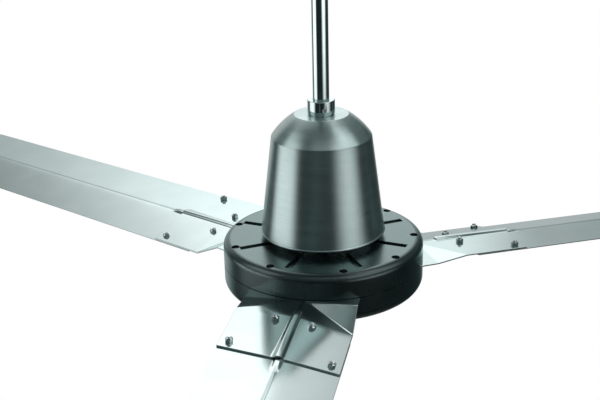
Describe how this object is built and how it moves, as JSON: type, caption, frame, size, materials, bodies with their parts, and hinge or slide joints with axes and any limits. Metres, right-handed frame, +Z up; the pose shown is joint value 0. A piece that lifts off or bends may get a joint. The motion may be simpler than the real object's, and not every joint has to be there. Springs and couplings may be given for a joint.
{
  "type": "ceiling fan",
  "caption": "Ceiling fan: black motor housing under a brushed steel bell cover, chrome downrod to a ceiling bracket with canopy, long bent sheet-metal blades screwed to brackets.",
  "frame": {"origin": "middle of the ceiling bracket's top face, between its two anchor holes", "axes": "+Z up along the downrod and the motor shaft, X along the bracket's two anchor holes; blade 1 points along -Y"},
  "size_m": [1.4367, 1.2514, 0.6289],
  "materials": {
    "zinc_steel": "zinc plated",
    "machined_steel": "turned",
    "bearing_steel": "ground",
    "rubber": "moulded",
    "brushed_steel": "spun and brushed round the axis",
    "chrome": "polished",
    "screw_steel": "bright",
    "polished_steel": "polished sheet",
    "black_paint": "cast, satin black paint",
    "black_plastic": "moulded",
    "capacitor_plastic": "moulded can",
    "brass": "turned",
    "laminated_steel": "stacked sheets",
    "copper_wire": "enamelled winding"
  },
  "bodies": {
    "ceiling_mount": {"ceiling_bracket": "zinc_steel", "hanger_bolt": "zinc_steel", "hanger_nut": "zinc_steel", "hanger_split_pin": "zinc_steel"},
    "hanging_rod": {"capacitor_nut": "zinc_steel", "carrier_plate": "zinc_steel", "carrier_screws": "zinc_steel", "coupling_bolt": "zinc_steel", "coupling_grub_screw": "zinc_steel", "coupling_nut": "zinc_steel", "coupling_split_pin": "zinc_steel", "downrod": "chrome", "earth_screw": "brass", "hanger_bush": "rubber", "lower_bearing_inner_ring": "bearing_steel", "motor_capacitor": "capacitor_plastic", "motor_shaft": "machined_steel", "rod_eye": "machined_steel", "rod_eye_pin": "zinc_steel", "shaft_circlip": "zinc_steel", "shaft_coupling": "machined_steel", "stator_coils": "copper_wire", "stator_core": "laminated_steel", "terminal_block": "black_plastic", "terminal_fixing_screws": "zinc_steel", "terminal_screws": "brass", "upper_bearing_inner_ring": "bearing_steel"},
    "rotor": {"upper_housing": "black_paint", "lower_housing": "black_paint", "housing_screws": "screw_steel", "rotor_ring": "laminated_steel", "upper_bearing_outer_ring": "bearing_steel", "lower_bearing_outer_ring": "bearing_steel", "bottom_cap": "black_plastic", "blade_bracket_1": "polished_steel", "blade_1": "polished_steel", "blade_screws_1": "screw_steel", "blade_nuts_1": "screw_steel", "blade_bracket_2": "polished_steel", "blade_2": "polished_steel", "blade_screws_2": "screw_steel", "blade_nuts_2": "screw_steel", "blade_bracket_3": "polished_steel", "blade_3": "polished_steel", "blade_screws_3": "screw_steel", "blade_nuts_3": "screw_steel"},
    "upper_ball_cage": {"upper_bearing_balls": "bearing_steel"},
    "lower_ball_cage": {"lower_bearing_balls": "bearing_steel"},
    "bell": {"bell_cover": "brushed_steel", "bell_collar": "chrome", "bell_locknut": "zinc_steel", "bell_set_screw": "screw_steel"},
    "canopy": {"ceiling_canopy": "brushed_steel", "canopy_collar": "chrome", "canopy_locknut": "zinc_steel", "canopy_set_screw": "screw_steel"}
  },
  "joints": [
    {"name": "hanger_swing", "type": "hinge", "parent": "ceiling_mount", "child": "hanging_rod", "pos_m": [0, 0, -0.034], "axis": [1, 0, 0], "range_deg": [-7, 7]},
    {"name": "rotor_spin", "type": "hinge", "parent": "hanging_rod", "child": "rotor", "pos_m": [0, 0, -0.59], "axis": [0, 0, 1], "continuous": true},
    {"name": "upper_ball_cage_spin", "type": "hinge", "parent": "hanging_rod", "child": "upper_ball_cage", "pos_m": [0, 0, -0.572], "axis": [0, 0, 1], "continuous": true},
    {"name": "lower_ball_cage_spin", "type": "hinge", "parent": "hanging_rod", "child": "lower_ball_cage", "pos_m": [0, 0, -0.608], "axis": [0, 0, 1], "continuous": true},
    {"name": "bell_lift", "type": "slide", "parent": "hanging_rod", "child": "bell", "axis": [0, 0, 1], "range_m": [0, 0.16]},
    {"name": "canopy_drop", "type": "slide", "parent": "hanging_rod", "child": "canopy", "axis": [0, 0, -1], "range_m": [0, 0.12]}
  ],
  "couplings": [
    {"joint": "upper_ball_cage_spin", "follows": "rotor_spin", "ratio": 0.6049},
    {"joint": "lower_ball_cage_spin", "follows": "rotor_spin", "ratio": 0.604}
  ]
}
